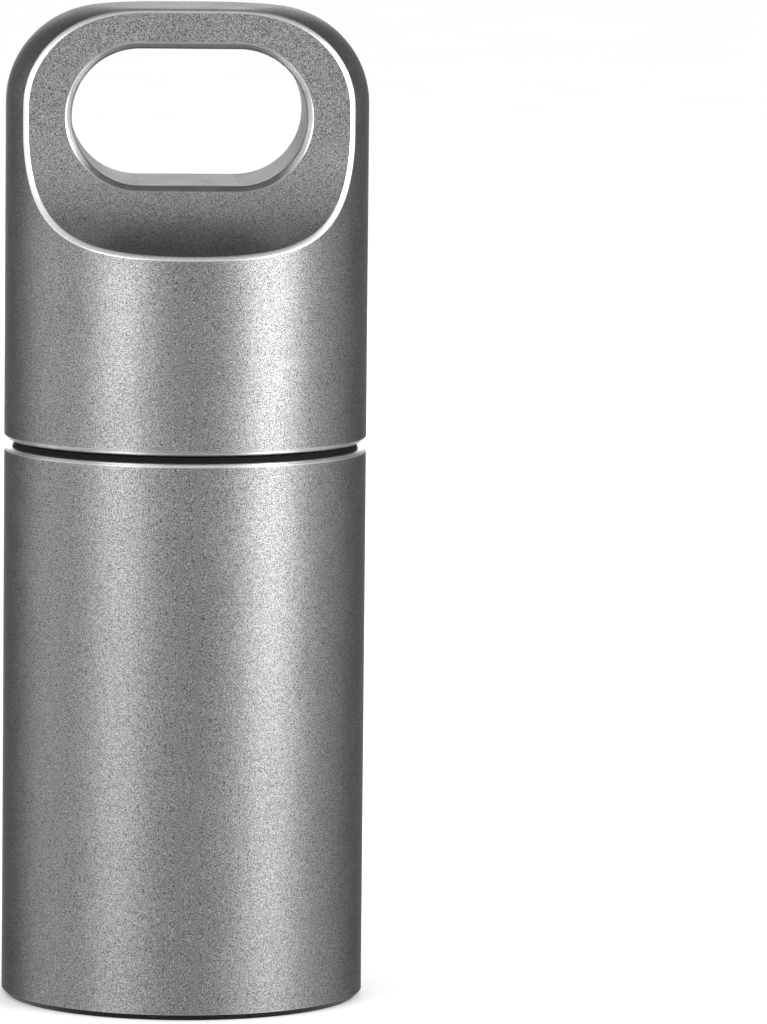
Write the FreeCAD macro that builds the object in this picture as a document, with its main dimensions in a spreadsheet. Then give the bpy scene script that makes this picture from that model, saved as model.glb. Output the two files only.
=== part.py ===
import FreeCAD, Part
import math
import os
import Sketcher

# A pocket-size screw-top metal case. Millimetres, +Z up, the case stands on z = 0 with
# its axis on the Z axis. The handle's flats face -Y (front) and +Y (back).

SIZES = {
    # The round case.
    "case_radius": 14.0,
    "case_height": 76.8,
    # Outer shell: a tube with a counterbored seat for the seal at its top.
    "shell_top": 42.7,
    "shell_bore_radius": 12.6,
    "shell_rim_chamfer": 0.25,
    "shell_foot_chamfer": 0.45,
    "seat_radius": 13.3,
    "seat_floor": 41.5,
    # Base plate: a disc pressed into the tube's lower end.
    "base_thickness": 1.8,
    "base_edge_chamfer": 0.25,
    # Neck collar: its spigot is pressed into the tube, its threaded neck stands above it.
    "spigot_bottom": 34.0,
    "flange_top": 42.9,
    "neck_top": 54.0,
    "neck_radius": 11.7,
    "neck_bore_radius": 10.9,
    "neck_lip_chamfer": 0.25,
    # The thread: rounded ridges on the neck, and matching ridges in the cap's insert.
    "thread_pitch": 2.0,
    "neck_thread_start": 45.2,
    "neck_thread_height": 6.6,
    "neck_ridge_height": 0.6,
    "neck_ridge_half_width": 0.55,
    "insert_thread_height": 6.0,
    "insert_ridge_height": 0.54,
    "insert_ridge_half_width": 0.45,
    "ridge_root_depth": 0.1,
    # Inner cup.
    "cup_radius": 10.85,
    "cup_bore_radius": 10.1,
    "cup_floor_thickness": 0.8,
    "cup_top": 53.6,
    "cup_rim_chamfer": 0.2,
    "cup_corner_radius": 1.5,
    # Shoulder seal.
    "seal_top": 43.25,
    "seal_edge_chamfer": 0.12,
    # Cap shell, with the handle cut from its solid upper half.
    "cap_bottom": 43.3,
    "cap_bore_radius": 13.1,
    "cap_bore_roof": 56.25,
    "cap_rim_chamfer": 0.35,
    "shoulder_radius": 7.5,
    "flat_offset": 6.17,
    "ramp_radius": 9.15,
    "ramp_start": 67.47,
    "slot_length": 18.0,
    "slot_width": 10.4,
    "slot_centre": 68.55,
    "outline_chamfer": 0.28,
    "slot_chamfer": 0.5,
    # Threaded insert in the cap, and the gasket under its roof.
    "insert_bottom": 43.5,
    "insert_bore_radius": 12.42,
    "insert_roof": 55.25,
    "gasket_radius": 12.38,
    "gasket_bottom": 54.05,
}

# How far a cutting sketch runs past the metal that it cuts.
OVERRUN = 2.0
# Lengths and directions closer than this are taken as equal.
SAME = 1e-6
# Every feature adds or cuts at least this volume.
LEAST_CHANGE = 0.01

doc = FreeCAD.newDocument("travel_case")


def make_sheet():
    """Put the driving dimensions in a spreadsheet, one named row each."""
    table = doc.addObject("Spreadsheet::Sheet", "sizes")
    for row, (name, value) in enumerate(SIZES.items(), start=1):
        table.set(f"A{row}", name)
        table.set(f"B{row}", str(value))
        table.setAlias(f"B{row}", name)
    doc.recompute()
    return table


sheet = make_sheet()


def linked(expression):
    """Rewrite an expression of bare size names so that it reads the spreadsheet."""
    words = expression.split()
    return " ".join(f"sizes.{word}" if word in SIZES else word for word in words)


def new_body(name):
    """Start a body whose label is the name of its file."""
    body = doc.addObject("PartDesign::Body", name)
    body.Label = name
    return body


def origin_feature(body, role):
    """Find one of the body's own origin planes or axes."""
    return next(item for item in body.Origin.OriginFeatures if item.Role == role)


def new_sketch(body, name, role):
    """Add an empty sketch on one of the body's origin planes."""
    sketch = body.newObject("Sketcher::SketchObject", name)
    sketch.AttachmentSupport = [(origin_feature(body, role), "")]
    sketch.MapMode = "FlatFace"
    return sketch


def point(sketch, corner):
    """Evaluate a pair of expressions as a point of the sketch."""
    across, up = (float(sketch.evalExpression(linked(text))) for text in corner)
    return FreeCAD.Vector(across, up, 0)


def tie(sketch, geometry, end, corner):
    """Hold one end of a piece of geometry at the distances that a pair of expressions gives."""
    place = point(sketch, corner)
    for kind, text, value in (("DistanceX", corner[0], place.x), ("DistanceY", corner[1], place.y)):
        index = sketch.addConstraint(Sketcher.Constraint(kind, -1, 1, geometry, end, value))
        sketch.setExpression(f"Constraints[{index}]", linked(text))


def draw_polygon(sketch, corners):
    """Draw a closed polygon from pairs of expressions."""
    count = len(corners)
    places = [point(sketch, corner) for corner in corners]
    for index in range(count):
        sketch.addGeometry(Part.LineSegment(places[index], places[(index + 1) % count]), False)
    for index in range(count):
        sketch.addConstraint(Sketcher.Constraint("Coincident", index, 2, (index + 1) % count, 1))
    for index, corner in enumerate(corners):
        tie(sketch, index, 1, corner)


def revolve(body, kind, name, corners):
    """Turn a polygon of radius and height expressions about the Z axis, to add or to cut."""
    sketch = new_sketch(body, f"{name}_section", "XZ_Plane")
    draw_polygon(sketch, corners)
    feature = body.newObject(f"PartDesign::{kind}", name)
    feature.Profile = sketch
    feature.ReferenceAxis = (origin_feature(body, "Z_Axis"), [""])
    feature.Angle = 360
    doc.recompute()
    return feature


def bind(feature, **properties):
    """Drive a feature's properties from the spreadsheet."""
    for name, expression in properties.items():
        feature.setExpression(name, linked(expression))


def dress(body, kind, name, base, edges, **properties):
    """Chamfer or round the chosen edges of the feature before it."""
    feature = body.newObject(f"PartDesign::{kind}", name)
    feature.Base = (base, edges)
    bind(feature, **properties)
    doc.recompute()
    return feature


def ring_edges(feature, radius, height):
    """Name the full circles about the Z axis that have this radius and height."""
    names = []
    for index, edge in enumerate(feature.Shape.Edges, start=1):
        curve = edge.Curve
        if not isinstance(curve, Part.Circle):
            continue
        if abs(curve.Radius - radius) < SAME and abs(curve.Center.z - height) < SAME:
            names.append(f"Edge{index}")
    return names


def add_ridge(body, name, root, crest, start, half_width, height):
    """Sweep a rounded thread ridge up a helix. All but the body and the name are expressions."""
    sketch = new_sketch(body, f"{name}_section", "XZ_Plane")
    low = (root, f"{start} - {half_width}")
    high = (root, f"{start} + {half_width}")
    top = (crest, start)
    # The arc runs counter-clockwise, so a ridge that points inwards starts at its upper end.
    inwards = point(sketch, top).x < point(sketch, low).x
    first, last = (high, low) if inwards else (low, high)
    sketch.addGeometry(Part.Arc(*(point(sketch, corner) for corner in (first, top, last))), False)
    sketch.addGeometry(Part.LineSegment(point(sketch, first), point(sketch, last)), False)
    sketch.addGeometry(Part.Point(point(sketch, top)), True)
    tie(sketch, 1, 1, first)
    tie(sketch, 1, 2, last)
    tie(sketch, 2, 1, top)
    sketch.addConstraint(Sketcher.Constraint("Coincident", 0, 1, 1, 1))
    sketch.addConstraint(Sketcher.Constraint("Coincident", 0, 2, 1, 2))
    sketch.addConstraint(Sketcher.Constraint("PointOnObject", 2, 1, 0))
    feature = body.newObject("PartDesign::AdditiveHelix", name)
    feature.Profile = sketch
    feature.ReferenceAxis = (origin_feature(body, "Z_Axis"), [""])
    feature.Mode = "pitch-height-angle"
    bind(feature, Pitch="thread_pitch", Height=height)
    doc.recompute()
    return feature


def make_outer_shell():
    """The grey tube, with its seal seat at the top and small chamfers at both ends."""
    body = new_body("outer_shell")
    revolve(body, "Revolution", "tube", [
        ("shell_bore_radius + base_edge_chamfer", "0"),
        ("case_radius - shell_foot_chamfer", "0"),
        ("case_radius", "shell_foot_chamfer"),
        ("case_radius", "shell_top - shell_rim_chamfer"),
        ("case_radius - shell_rim_chamfer", "shell_top"),
        ("seat_radius", "shell_top"),
        ("seat_radius", "seat_floor"),
        ("shell_bore_radius", "seat_floor"),
        ("shell_bore_radius", "base_edge_chamfer"),
    ])
    return body


def make_base_plate():
    """The disc that closes the tube, with a fine groove round it where the two meet."""
    body = new_body("base_plate")
    revolve(body, "Revolution", "disc", [
        ("0", "0"),
        ("shell_bore_radius - base_edge_chamfer", "0"),
        ("shell_bore_radius", "base_edge_chamfer"),
        ("shell_bore_radius", "base_thickness"),
        ("0", "base_thickness"),
    ])
    return body


def make_neck_collar():
    """The bright collar: a plain spigot, a narrow flange and the threaded neck."""
    body = new_body("neck_collar")
    revolve(body, "Revolution", "collar", [
        ("neck_bore_radius", "spigot_bottom"),
        ("shell_bore_radius", "spigot_bottom"),
        ("shell_bore_radius", "flange_top"),
        ("neck_radius", "flange_top"),
        ("neck_radius", "neck_top - neck_lip_chamfer"),
        ("neck_radius - neck_lip_chamfer", "neck_top"),
        ("neck_bore_radius + neck_lip_chamfer", "neck_top"),
        ("neck_bore_radius", "neck_top - neck_lip_chamfer"),
    ])
    add_ridge(
        body,
        "neck_thread",
        root="neck_radius - ridge_root_depth",
        crest="neck_radius + neck_ridge_height",
        start="neck_thread_start",
        half_width="neck_ridge_half_width",
        height="neck_thread_height",
    )
    return body


def make_inner_cup():
    """The thin black cup that holds the pills, with a rounded inner floor."""
    body = new_body("inner_cup")
    cup = revolve(body, "Revolution", "cup", [
        ("0", "base_thickness"),
        ("cup_radius", "base_thickness"),
        ("cup_radius", "cup_top - cup_rim_chamfer"),
        ("cup_radius - cup_rim_chamfer", "cup_top"),
        ("cup_bore_radius + cup_rim_chamfer", "cup_top"),
        ("cup_bore_radius", "cup_top - cup_rim_chamfer"),
        ("cup_bore_radius", "base_thickness + cup_floor_thickness"),
        ("0", "base_thickness + cup_floor_thickness"),
    ])
    floor = SIZES["base_thickness"] + SIZES["cup_floor_thickness"]
    corner = ring_edges(cup, SIZES["cup_bore_radius"], floor)
    dress(body, "Fillet", "floor_round", cup, corner, Radius="cup_corner_radius")
    return body


def make_shoulder_seal():
    """The black ring in the shell's seat, which shows as a line below the cap."""
    body = new_body("shoulder_seal")
    revolve(body, "Revolution", "ring", [
        ("shell_bore_radius", "seat_floor"),
        ("seat_radius", "seat_floor"),
        ("seat_radius", "seal_top - seal_edge_chamfer"),
        ("seat_radius - seal_edge_chamfer", "seal_top"),
        ("shell_bore_radius + seal_edge_chamfer", "seal_top"),
        ("shell_bore_radius", "seal_top - seal_edge_chamfer"),
    ])
    return body


def cut_scoops(body):
    """Cut the handle's two flats, each ending in a hollow ramp, from the round blank."""
    sketch = new_sketch(body, "scoop_section", "YZ_Plane")
    centre = point(sketch, ("flat_offset + ramp_radius", "ramp_start"))
    ramp = Part.Circle(centre, FreeCAD.Vector(0, 0, 1), SIZES["ramp_radius"])
    sketch.addGeometry(Part.ArcOfCircle(ramp, math.pi, 1.5 * math.pi), False)
    corners = [
        ("flat_offset + ramp_radius", "ramp_start - ramp_radius"),
        ("flat_offset + ramp_radius", f"case_height + {OVERRUN}"),
        ("flat_offset", f"case_height + {OVERRUN}"),
        ("flat_offset", "ramp_start"),
    ]
    places = [point(sketch, corner) for corner in corners]
    for first, last in zip(places, places[1:]):
        sketch.addGeometry(Part.LineSegment(first, last), False)
    for index in range(3):
        sketch.addConstraint(Sketcher.Constraint("Coincident", index, 2, index + 1, 1))
    sketch.addConstraint(Sketcher.Constraint("Tangent", 3, 2, 0, 1))
    for index, corner in enumerate(corners[:3], start=1):
        tie(sketch, index, 1, corner)
    tie(sketch, 3, 2, corners[3])
    pocket = body.newObject("PartDesign::Pocket", "scoop")
    pocket.Profile = sketch
    pocket.Midplane = True
    bind(pocket, Length="4 * case_radius")
    doc.recompute()
    pair = body.newObject("PartDesign::PolarPattern", "scoops")
    pair.Originals = [pocket]
    pair.Axis = (origin_feature(body, "Z_Axis"), [""])
    pair.Angle = 360
    pair.Occurrences = 2
    body.Tip = pair
    doc.recompute()
    return pair


def cut_slot(body):
    """Cut the round-ended slot through the handle from front to back."""
    sketch = new_sketch(body, "slot_section", "XZ_Plane")
    half_width = SIZES["slot_width"] / 2
    half_straight = (SIZES["slot_length"] - SIZES["slot_width"]) / 2
    level = SIZES["slot_centre"]
    for side in (1, -1):
        centre = FreeCAD.Vector(side * half_straight, level, 0)
        end = Part.Circle(centre, FreeCAD.Vector(0, 0, 1), half_width)
        start = -side * math.pi / 2
        sketch.addGeometry(Part.ArcOfCircle(end, start, start + math.pi), False)
    for side in (1, -1):
        first = FreeCAD.Vector(side * half_straight, level + side * half_width, 0)
        last = FreeCAD.Vector(-side * half_straight, level + side * half_width, 0)
        sketch.addGeometry(Part.LineSegment(first, last), False)
    for arc, line in ((0, 2), (1, 3)):
        sketch.addConstraint(Sketcher.Constraint("Tangent", arc, 2, line, 1))
    for arc, line in ((1, 2), (0, 3)):
        sketch.addConstraint(Sketcher.Constraint("Tangent", arc, 1, line, 2))
    tie(sketch, 0, 3, ("slot_length / 2 - slot_width / 2", "slot_centre"))
    sketch.addConstraint(Sketcher.Constraint("Symmetric", 0, 3, 1, 3, -2))
    radius = sketch.addConstraint(Sketcher.Constraint("Radius", 0, half_width))
    sketch.setExpression(f"Constraints[{radius}]", linked("slot_width / 2"))
    pocket = body.newObject("PartDesign::Pocket", "slot")
    pocket.Profile = sketch
    pocket.Midplane = True
    bind(pocket, Length="4 * case_radius")
    doc.recompute()
    return pocket


def face_axis(face):
    """Name the axis that a flat face's normal, or a round face's own axis, lies along."""
    direction = getattr(face.Surface, "Axis", FreeCAD.Vector())
    for name, value in (("X", direction.x), ("Y", direction.y), ("Z", direction.z)):
        if abs(abs(value) - 1) < SAME:
            return name
    return "none"


def face_group(face):
    """Sort the cap's faces into its outside, the two scoops, the slot's wall, and none of them."""
    axis = face_axis(face)
    if not isinstance(face.Surface, Part.Plane):
        return {"X": "scoop", "Y": "slot", "Z": "outside"}.get(axis, "none")
    from_slot = abs(face.CenterOfMass.z - SIZES["slot_centre"])
    level = "slot" if from_slot < SIZES["slot_width"] / 2 + SAME else "outside"
    return {"Y": "scoop", "Z": level}.get(axis, "none")


def border_edges(feature, first, second):
    """Name the edges that lie between two groups of faces."""
    shape = feature.Shape
    names = []
    for index, edge in enumerate(shape.Edges, start=1):
        groups = {face_group(face) for face in shape.ancestorsOfType(edge, Part.Face)}
        if groups == {first, second}:
            names.append(f"Edge{index}")
    return names


def make_cap_shell():
    """The grey cap: round-shouldered, with a slotted handle, bored out for its insert."""
    body = new_body("cap_shell")
    blank = revolve(body, "Revolution", "blank", [
        ("0", "cap_bottom"),
        ("case_radius - cap_rim_chamfer", "cap_bottom"),
        ("case_radius", "cap_bottom + cap_rim_chamfer"),
        ("case_radius", "case_height"),
        ("0", "case_height"),
    ])
    crown = ring_edges(blank, SIZES["case_radius"], SIZES["case_height"])
    dress(body, "Fillet", "shoulder", blank, crown, Radius="shoulder_radius")
    cut_scoops(body)
    slot = cut_slot(body)
    outline = dress(
        body,
        "Chamfer",
        "outline_bevel",
        slot,
        border_edges(slot, "scoop", "outside"),
        Size="outline_chamfer",
    )
    dress(
        body,
        "Chamfer",
        "slot_bevel",
        outline,
        border_edges(outline, "scoop", "slot"),
        Size="slot_chamfer",
    )
    revolve(body, "Groove", "bore", [
        ("0", f"cap_bottom - {OVERRUN}"),
        ("cap_bore_radius", f"cap_bottom - {OVERRUN}"),
        ("cap_bore_radius", "cap_bore_roof"),
        ("0", "cap_bore_roof"),
    ])
    return body


def make_cap_insert():
    """The moulded cup inside the cap that carries the female thread."""
    body = new_body("cap_insert")
    revolve(body, "Revolution", "liner", [
        ("insert_bore_radius", "insert_bottom"),
        ("cap_bore_radius", "insert_bottom"),
        ("cap_bore_radius", "cap_bore_roof"),
        ("0", "cap_bore_roof"),
        ("0", "insert_roof"),
        ("insert_bore_radius", "insert_roof"),
    ])
    add_ridge(
        body,
        "insert_thread",
        root="insert_bore_radius + ridge_root_depth",
        crest="insert_bore_radius - insert_ridge_height",
        start="neck_thread_start + thread_pitch / 2",
        half_width="insert_ridge_half_width",
        height="insert_thread_height",
    )
    return body


def make_cap_gasket():
    """The soft disc that the neck's lip presses on when the cap is closed."""
    body = new_body("cap_gasket")
    revolve(body, "Revolution", "pad", [
        ("0", "gasket_bottom"),
        ("gasket_radius", "gasket_bottom"),
        ("gasket_radius", "insert_roof"),
        ("0", "insert_roof"),
    ])
    return body


def check_document():
    """Stop if any object failed, or if a feature added or cut nothing."""
    doc.recompute()
    for item in doc.Objects:
        if "Invalid" in item.State or "Error" in item.State:
            raise RuntimeError(f"{item.Label} did not compute: {item.State}")
        before = getattr(item, "BaseFeature", None)
        if before and abs(item.Shape.Volume - before.Shape.Volume) < LEAST_CHANGE:
            raise RuntimeError(f"{item.Label} changes nothing")


def export(body):
    """Write one body as a STEP file named after it."""
    shape = body.Shape
    if shape.isNull() or not shape.isValid() or len(shape.Solids) != 1:
        raise RuntimeError(f"{body.Label} is not one sound solid")
    shape.exportStep(f"parts/{body.Label}.step")
    print(body.Label, round(shape.Volume, 2), "mm3")


MAKERS = (
    make_outer_shell,
    make_base_plate,
    make_neck_collar,
    make_inner_cup,
    make_shoulder_seal,
    make_cap_shell,
    make_cap_insert,
    make_cap_gasket,
)

os.makedirs("parts", exist_ok=True)
bodies = [make() for make in MAKERS]
check_document()
for finished in bodies:
    export(finished)
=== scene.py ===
import math

import bmesh
import bpy
from mathutils import Matrix, Vector


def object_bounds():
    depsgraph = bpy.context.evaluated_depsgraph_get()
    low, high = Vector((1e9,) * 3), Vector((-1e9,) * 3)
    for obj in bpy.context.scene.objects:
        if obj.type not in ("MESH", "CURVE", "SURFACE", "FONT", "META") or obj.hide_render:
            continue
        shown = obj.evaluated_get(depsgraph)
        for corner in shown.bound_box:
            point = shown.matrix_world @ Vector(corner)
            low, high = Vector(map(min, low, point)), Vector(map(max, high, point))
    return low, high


# The looks of a pocket-size screw-top metal case. Metres, in the CAD frame: +Z up, front -Y.

MM = 0.001

# The camera, placed about the middle of the case.
CAMERA_DISTANCE = 0.66
CAMERA_AZIMUTH = math.radians(-1.5)
CAMERA_ELEVATION = math.radians(6.2)
CAMERA_LENS_MM = 299.5
AIM_RIGHT = math.radians(1.337)
AIM_DOWN = math.radians(0.063)
CAMERA_ROLL = math.radians(0.42)
SENSOR_WIDTH_MM = 36

# The white surroundings, as the camera and matte surfaces see them, and as reflections do.
SURROUNDINGS = 1.16
SURROUNDINGS_REFLECTED = 0.61

FLOOR_REACH = 4.0

# Faces of the metal shells that are narrower than this are cut bevels, apart from the one at the foot.
BEVEL_WIDTH = 0.9 * MM
FOOT_TOP = 1 * MM

# How far the shading rounds the bevels' edges, and how far wear reaches from an edge.
EDGE_ROUNDING = 0.4 * MM
EDGE_WEAR = 0.25 * MM

# The scoops lie wholly further from the middle than this, and the slot's walls wholly nearer, up high.
SCOOP_START = 6.1 * MM
SLOT_REACH = 5.9 * MM
SLOT_LOW = 60 * MM

# A metal node's material slots; the third holds a lighter copy of the metal, whose extra lightness is
# painted light.
PLAIN, BEVEL, LIGHTER_COPY = range(3)

# The colour mix node's sockets, which share their names with its other kinds of mix.
MIX_FACTOR, MIX_FIRST, MIX_SECOND, MIX_RESULT = 0, 6, 7, 2

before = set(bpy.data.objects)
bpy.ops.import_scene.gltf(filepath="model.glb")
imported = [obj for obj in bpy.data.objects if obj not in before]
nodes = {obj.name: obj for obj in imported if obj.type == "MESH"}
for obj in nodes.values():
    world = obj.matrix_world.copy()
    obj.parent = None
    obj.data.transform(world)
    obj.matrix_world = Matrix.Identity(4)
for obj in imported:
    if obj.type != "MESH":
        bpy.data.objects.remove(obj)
cad_low, cad_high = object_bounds()
centre = (cad_low + cad_high) / 2


# ---------------------------------------------------------------- node helpers


class Material:
    """A new material's node tree, with short ways to add and join its nodes."""

    def __init__(self, name):
        self.material = bpy.data.materials.new(name)
        self.material.use_nodes = True
        self.tree = self.material.node_tree
        self.shader = self.tree.nodes["Principled BSDF"]
        self.place = self.add("ShaderNodeTexCoord").outputs["Object"]

    def add(self, kind, **settings):
        node = self.tree.nodes.new(kind)
        for key, value in settings.items():
            setattr(node, key, value)
        return node

    def join(self, source, target):
        self.tree.links.new(source, target)

    def set(self, values):
        """Set plain values on the shader's own sockets."""
        for name, value in values.items():
            self.shader.inputs[name].default_value = value

    def stretch(self, scale):
        """The object's coordinates, scaled along each axis."""
        mapping = self.add("ShaderNodeMapping")
        mapping.inputs["Scale"].default_value = scale
        self.join(self.place, mapping.inputs["Vector"])
        return mapping.outputs["Vector"]

    def noise(self, size, detail=2.0, place=None):
        """Noise whose blotches are about this size across."""
        node = self.add("ShaderNodeTexNoise")
        node.inputs["Scale"].default_value = 1 / size
        node.inputs["Detail"].default_value = detail
        self.join(place or self.place, node.inputs["Vector"])
        return node.outputs["Fac"]

    def ramp(self, factor, low, high, start=0.3, end=0.7):
        """A blend from one grey or colour to another over part of a factor's range."""
        node = self.add("ShaderNodeValToRGB")
        for stop, position, value in zip(node.color_ramp.elements, (start, end), (low, high)):
            stop.position = position
            stop.color = (*value, 1) if isinstance(value, tuple) else (value, value, value, 1)
        self.join(factor, node.inputs["Fac"])
        return node.outputs["Color"]

    def blend(self, kind, factor, first, second):
        """Mix two colours, by a number or by a mask."""
        node = self.add("ShaderNodeMix", data_type="RGBA", blend_type=kind)
        if isinstance(factor, float):
            node.inputs[MIX_FACTOR].default_value = factor
        else:
            self.join(factor, node.inputs[MIX_FACTOR])
        self.join(first, node.inputs[MIX_FIRST])
        self.join(second, node.inputs[MIX_SECOND])
        return node.outputs[MIX_RESULT]

    def bump(self, height, depth, below=None):
        """Raise the surface by a height map, on top of any bump below it."""
        node = self.add("ShaderNodeBump")
        node.inputs["Distance"].default_value = depth
        node.inputs["Strength"].default_value = 1
        self.join(height, node.inputs["Height"])
        if below:
            self.join(below, node.inputs["Normal"])
        return node.outputs["Normal"]

    def rounded(self, radius):
        """The surface's direction, as if its edges were rounded to this radius."""
        node = self.add("ShaderNodeBevel", samples=8)
        node.inputs["Radius"].default_value = radius
        return node.outputs["Normal"]

    def edges(self, radius, start, end):
        """A mask that rises from nothing to one close to the edges."""
        turn = self.add("ShaderNodeVectorMath", operation="DOT_PRODUCT")
        self.join(self.rounded(radius), turn.inputs[0])
        self.join(self.add("ShaderNodeNewGeometry").outputs["Normal"], turn.inputs[1])
        return self.ramp(turn.outputs["Value"], 1.0, 0.0, start, end)

    def finish(self, colour, roughness, normal=None):
        """Join what was made to the shader."""
        self.join(colour, self.shader.inputs["Base Color"])
        self.join(roughness, self.shader.inputs["Roughness"])
        if normal:
            self.join(normal, self.shader.inputs["Normal"])
        return self.material


# ---------------------------------------------------------------- materials


def blasted_metal(name, dark, light):
    """Grey metal, bead-blasted to a fine sandy grain."""
    m = Material(name)
    m.set({"Metallic": 1.0, "Specular Tint": (0.55, 0.55, 0.56, 1)})
    grain = m.noise(0.058 * MM, detail=1)
    pits = m.noise(0.07 * MM, detail=1)
    drift = m.noise(9 * MM, detail=3)
    speckle = m.ramp(grain, dark, light, 0.35, 0.65)
    tone = m.ramp(drift, 0.93, 1.0)
    blasted = m.blend("MULTIPLY", 1.0, speckle, tone)
    rubbed = m.ramp(m.noise(0.5 * MM, detail=3), 0.34, 0.48)
    colour = m.blend("MIX", m.edges(EDGE_WEAR, 0.93, 0.995), blasted, rubbed)
    roughness = m.ramp(m.noise(2.5 * MM, detail=4), 0.37, 0.43)
    normal = m.bump(pits, 0.005 * MM, below=m.bump(grain, 0.009 * MM))
    return m.finish(colour, roughness, normal)


def cut_metal():
    """The bright bevels, cut after blasting, with faint tool marks."""
    m = Material("cut_metal")
    m.set({"Metallic": 1.0})
    marks = m.noise(0.2 * MM, detail=3)
    colour = m.ramp(marks, (0.80, 0.795, 0.79), (0.92, 0.915, 0.91))
    roughness = m.ramp(m.noise(0.8 * MM), 0.29, 0.35)
    return m.finish(colour, roughness, m.bump(marks, 0.0004 * MM, below=m.rounded(EDGE_ROUNDING)))


def bright_steel():
    """The turned neck: polished, with fine rings left by the tool."""
    m = Material("bright_steel")
    m.set({"Metallic": 1.0})
    rings = m.noise(0.12 * MM, detail=3, place=m.stretch((0.02, 0.02, 1)))
    stains = m.noise(3 * MM, detail=4)
    colour = m.ramp(stains, (0.70, 0.685, 0.665), (0.79, 0.78, 0.765))
    roughness = m.ramp(m.noise(1.2 * MM, detail=4), 0.14, 0.24)
    return m.finish(colour, roughness, m.bump(rings, 0.003 * MM))


def black_gloss():
    """The moulded inner cup: glossy black with a faint orange-peel ripple and dust-fine scuffs."""
    m = Material("black_gloss")
    m.set({"IOR": 1.5})
    ripple = m.noise(2.2 * MM, detail=1)
    scuffs = m.noise(0.25 * MM, detail=4, place=m.stretch((1, 1, 0.15)))
    colour = m.ramp(scuffs, (0.006, 0.006, 0.0065), (0.013, 0.013, 0.014))
    roughness = m.ramp(scuffs, 0.08, 0.2, 0.45, 0.75)
    return m.finish(colour, roughness, m.bump(ripple, 0.01 * MM))


def black_rubber():
    """The shoulder seal: matte, slightly uneven rubber."""
    m = Material("black_rubber")
    m.set({"IOR": 1.45, "Specular IOR Level": 0.12})
    skin = m.noise(0.2 * MM, detail=4)
    colour = m.ramp(skin, (0.003, 0.003, 0.003), (0.007, 0.007, 0.007))
    roughness = m.ramp(skin, 0.55, 0.7)
    return m.finish(colour, roughness, m.bump(skin, 0.01 * MM))


def black_plastic():
    """The cap's moulded insert: satin black with a spark-eroded texture."""
    m = Material("black_plastic")
    m.set({"IOR": 1.48})
    texture = m.noise(0.3 * MM, detail=4)
    colour = m.ramp(texture, (0.018, 0.018, 0.019), (0.030, 0.030, 0.031))
    roughness = m.ramp(m.noise(1.5 * MM, detail=3), 0.34, 0.46)
    return m.finish(colour, roughness, m.bump(texture, 0.006 * MM))


def white_silicone():
    """The gasket: soft off-white silicone, a little translucent."""
    m = Material("white_silicone")
    m.set({"IOR": 1.41, "Subsurface Weight": 0.25, "Subsurface Scale": 0.6 * MM})
    bloom = m.noise(1.1 * MM, detail=4)
    colour = m.ramp(bloom, (0.66, 0.66, 0.64), (0.76, 0.76, 0.74))
    roughness = m.ramp(bloom, 0.42, 0.56)
    return m.finish(colour, roughness, m.bump(m.noise(0.15 * MM), 0.004 * MM))


def pale_floor():
    """A plain pale studio floor."""
    m = Material("pale_floor")
    colour = m.ramp(m.noise(40 * MM, detail=3), 0.90, 0.92)
    roughness = m.ramp(m.noise(15 * MM), 0.65, 0.75)
    return m.finish(colour, roughness)


# ---------------------------------------------------------------- dressing the CAD nodes


def islands(mesh):
    """Lists of the faces that share vertices, which are the faces of the CAD solid."""
    mesh.faces.ensure_lookup_table()
    seen = set()
    for start in mesh.faces:
        if start in seen:
            continue
        island = []
        waiting = [start]
        seen.add(start)
        while waiting:
            face = waiting.pop()
            island.append(face)
            for neighbour in (other for edge in face.edges for other in edge.link_faces):
                if neighbour not in seen:
                    seen.add(neighbour)
                    waiting.append(neighbour)
        yield island


def mean_width(island):
    """A face's mean width: its area over half of its outline."""
    inside = set(island)
    outline = sum(
        edge.calc_length()
        for face in island
        for edge in face.edges
        if sum(other in inside for other in edge.link_faces) == 1
    )
    return 2 * sum(face.calc_area() for face in island) / outline


def is_cut(island):
    """Whether a face is one of the bright bevels."""
    at_foot = all(vertex.co.z < FOOT_TOP for face in island for vertex in face.verts)
    return mean_width(island) < BEVEL_WIDTH and not at_foot


def takes_lighter_copy(island):
    """Whether a face of the cap lies wholly in a scoop or in the slot, where the lighter copy paints in
    light.
    """
    places = [vertex.co for face in island for vertex in face.verts]
    in_scoop = all(abs(place.y) > SCOOP_START for place in places)
    in_slot = all(abs(place.y) < SLOT_REACH and place.z > SLOT_LOW for place in places)
    return in_scoop or in_slot


def paint(node, plain, bevel=None, lighter_copy=None):
    """Give a CAD node its material, its narrow cut faces a second one, and its scoop and slot faces a
    third: a lighter copy, painted light.
    """
    data = nodes[node].data
    data.materials.clear()
    for material in (plain, bevel, lighter_copy):
        data.materials.append(material or plain)
    mesh = bmesh.new()
    mesh.from_mesh(data)
    for island in islands(mesh):
        if bevel and is_cut(island):
            slot = BEVEL
        elif lighter_copy and takes_lighter_copy(island):
            slot = LIGHTER_COPY
        else:
            slot = PLAIN
        for face in island:
            data.polygons[face.index].material_index = slot
    mesh.free()


def dress_nodes():
    """Give each CAD node its finish."""
    metal = blasted_metal("blasted_metal", (0.05, 0.049, 0.0495), (0.52, 0.513, 0.516))
    # A lighter copy of the blasted metal: painted light that brightens the scoops and the slot walls,
    # which sit in shade.
    lighter_copy = blasted_metal("lighter_copy_metal", (0.07, 0.069, 0.0695), (0.61, 0.602, 0.606))
    cut = cut_metal()
    paint("outer_shell", metal, cut)
    paint("base_plate", metal)
    paint("cap_shell", metal, cut, lighter_copy)
    paint("neck_collar", bright_steel())
    paint("inner_cup", black_gloss())
    paint("shoulder_seal", black_rubber())
    paint("cap_insert", black_plastic())
    paint("cap_gasket", white_silicone())


# ---------------------------------------------------------------- studio


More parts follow.
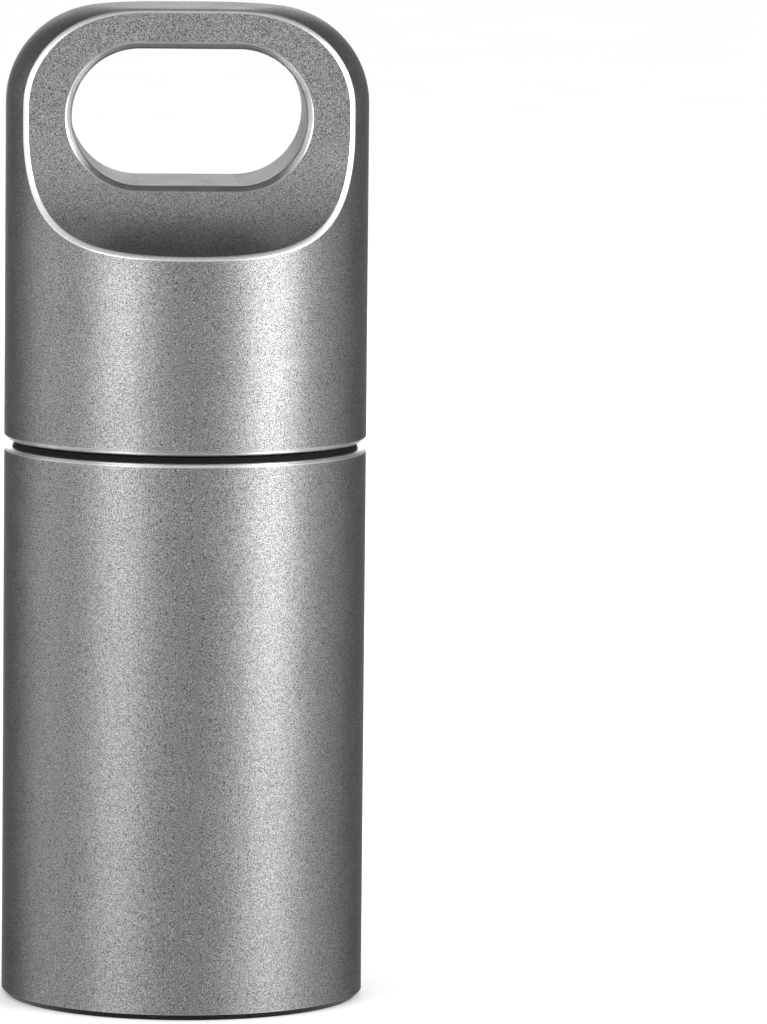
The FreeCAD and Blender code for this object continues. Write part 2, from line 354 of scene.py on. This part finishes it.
def add_sheet(name, segments, reach, material):
    """A flat square sheet of the studio, which isn't part of the case."""
    mesh = bmesh.new()
    bmesh.ops.create_grid(mesh, x_segments=segments, y_segments=segments, size=reach)
    data = bpy.data.meshes.new(name)
    mesh.to_mesh(data)
    mesh.free()
    data.materials.append(material)
    sheet = bpy.data.objects.new(name, data)
    bpy.context.collection.objects.link(sheet)
    return sheet


def make_floor():
    """A wide floor at the case's foot, left out of the metal's reflections."""
    floor = add_sheet("floor", 8, FLOOR_REACH, pale_floor())
    floor.location = (0, 0, cad_low.z)
    floor.visible_glossy = False


def around(azimuth, elevation, distance, target):
    """A place seen from the target at this azimuth (0 is the front, 90 the right) and elevation."""
    direction = Vector((
        math.sin(azimuth) * math.cos(elevation),
        -math.cos(azimuth) * math.cos(elevation),
        math.sin(elevation),
    ))
    return target + direction * distance


def add_light(name, azimuth, height, distance, width, tall, power):
    """A soft box that stands upright round the case and faces it."""
    data = bpy.data.lights.new(name, "AREA")
    data.shape = "RECTANGLE"
    data.size = width
    data.size_y = tall
    data.energy = power
    light = bpy.data.objects.new(name, data)
    light.location = around(math.radians(azimuth), 0, distance, Vector((0, 0, height)))
    facing = Vector((0, 0, centre.z)) - light.location
    light.rotation_euler = facing.to_track_quat("-Z", "Y").to_euler()
    light.visible_camera = False
    bpy.context.collection.objects.link(light)


def make_lights():
    """Two strips for the bright bands down the metal, and a faint wash on its left edge."""
    add_light("left_strip", azimuth=-42, height=0.16, distance=0.5, width=0.2, tall=0.34, power=1.3)
    add_light("right_strip", azimuth=55, height=0.16, distance=0.5, width=0.23, tall=0.34, power=2.25)
    add_light("left_wash", azimuth=-98, height=0.1, distance=0.5, width=0.3, tall=0.4, power=0.24)


def add_card(name, azimuth, elevation, distance, width, tall, brightness):
    """An evenly bright card that only reflections see."""
    m = Material(name)
    m.set({"Base Color": (0, 0, 0, 1), "Specular IOR Level": 0})
    m.set({"Emission Color": (1, 1, 1, 1), "Emission Strength": brightness})
    card = add_sheet(name, 1, 0.5, m.material)
    card.location = around(math.radians(azimuth), math.radians(elevation), distance, centre)
    card.rotation_euler = (centre - card.location).to_track_quat("Z", "Y").to_euler()
    card.scale = (width, tall, 1)
    card.visible_camera = False
    card.visible_diffuse = False
    card.visible_transmission = False
    card.visible_shadow = False


def make_cards():
    """Cards that shape the metal's reflections: dark edges, a shaded ramp and foot, a bright back."""
    for side in (-1, 1):
        add_card(f"edge_card_{side}", 137 * side, 0, distance=0.6, width=0.42, tall=0.9, brightness=0.2)
    add_card("top_card", 180, 64, distance=0.45, width=0.9, tall=0.56, brightness=0.14)
    add_card("foot_card", 0, -90, distance=0.18, width=0.28, tall=0.28, brightness=0.02)
    add_card("back_card", 180, 4, distance=0.7, width=0.28, tall=0.4, brightness=2.8)


def make_world():
    """White surroundings, dimmer in reflections than they light the floor."""
    world = bpy.data.worlds.new("surroundings")
    world.use_nodes = True
    tree = world.node_tree
    bright = tree.nodes["Background"]
    bright.inputs["Strength"].default_value = SURROUNDINGS
    dim = tree.nodes.new("ShaderNodeBackground")
    dim.inputs["Strength"].default_value = SURROUNDINGS_REFLECTED
    for background in (bright, dim):
        background.inputs["Color"].default_value = (1, 1, 1, 1)
    ray = tree.nodes.new("ShaderNodeLightPath")
    mix = tree.nodes.new("ShaderNodeMixShader")
    tree.links.new(ray.outputs["Is Glossy Ray"], mix.inputs["Fac"])
    tree.links.new(bright.outputs["Background"], mix.inputs[1])
    tree.links.new(dim.outputs["Background"], mix.inputs[2])
    tree.links.new(mix.outputs["Shader"], tree.nodes["World Output"].inputs["Surface"])
    bpy.context.scene.world = world


def make_camera():
    """A long lens aimed near the case's mid height, turned so that the case stands left of the middle."""
    data = bpy.data.cameras.new("camera")
    data.lens = CAMERA_LENS_MM
    data.sensor_width = SENSOR_WIDTH_MM
    camera = bpy.data.objects.new("camera", data)
    target = Vector((0, 0, centre.z))
    place = around(CAMERA_AZIMUTH, CAMERA_ELEVATION, CAMERA_DISTANCE, target)
    facing = (target - place).to_track_quat("-Z", "Y").to_matrix().to_4x4()
    turn = Matrix.Rotation(-AIM_RIGHT, 4, "Y") @ Matrix.Rotation(-AIM_DOWN, 4, "X")
    roll = Matrix.Rotation(CAMERA_ROLL, 4, "Z")
    camera.matrix_world = Matrix.Translation(place) @ facing @ turn @ roll
    bpy.context.collection.objects.link(camera)
    bpy.context.scene.camera = camera


dress_nodes()
make_floor()
make_lights()
make_cards()
make_world()
make_camera()
bpy.context.scene.view_settings.view_transform = "Standard"
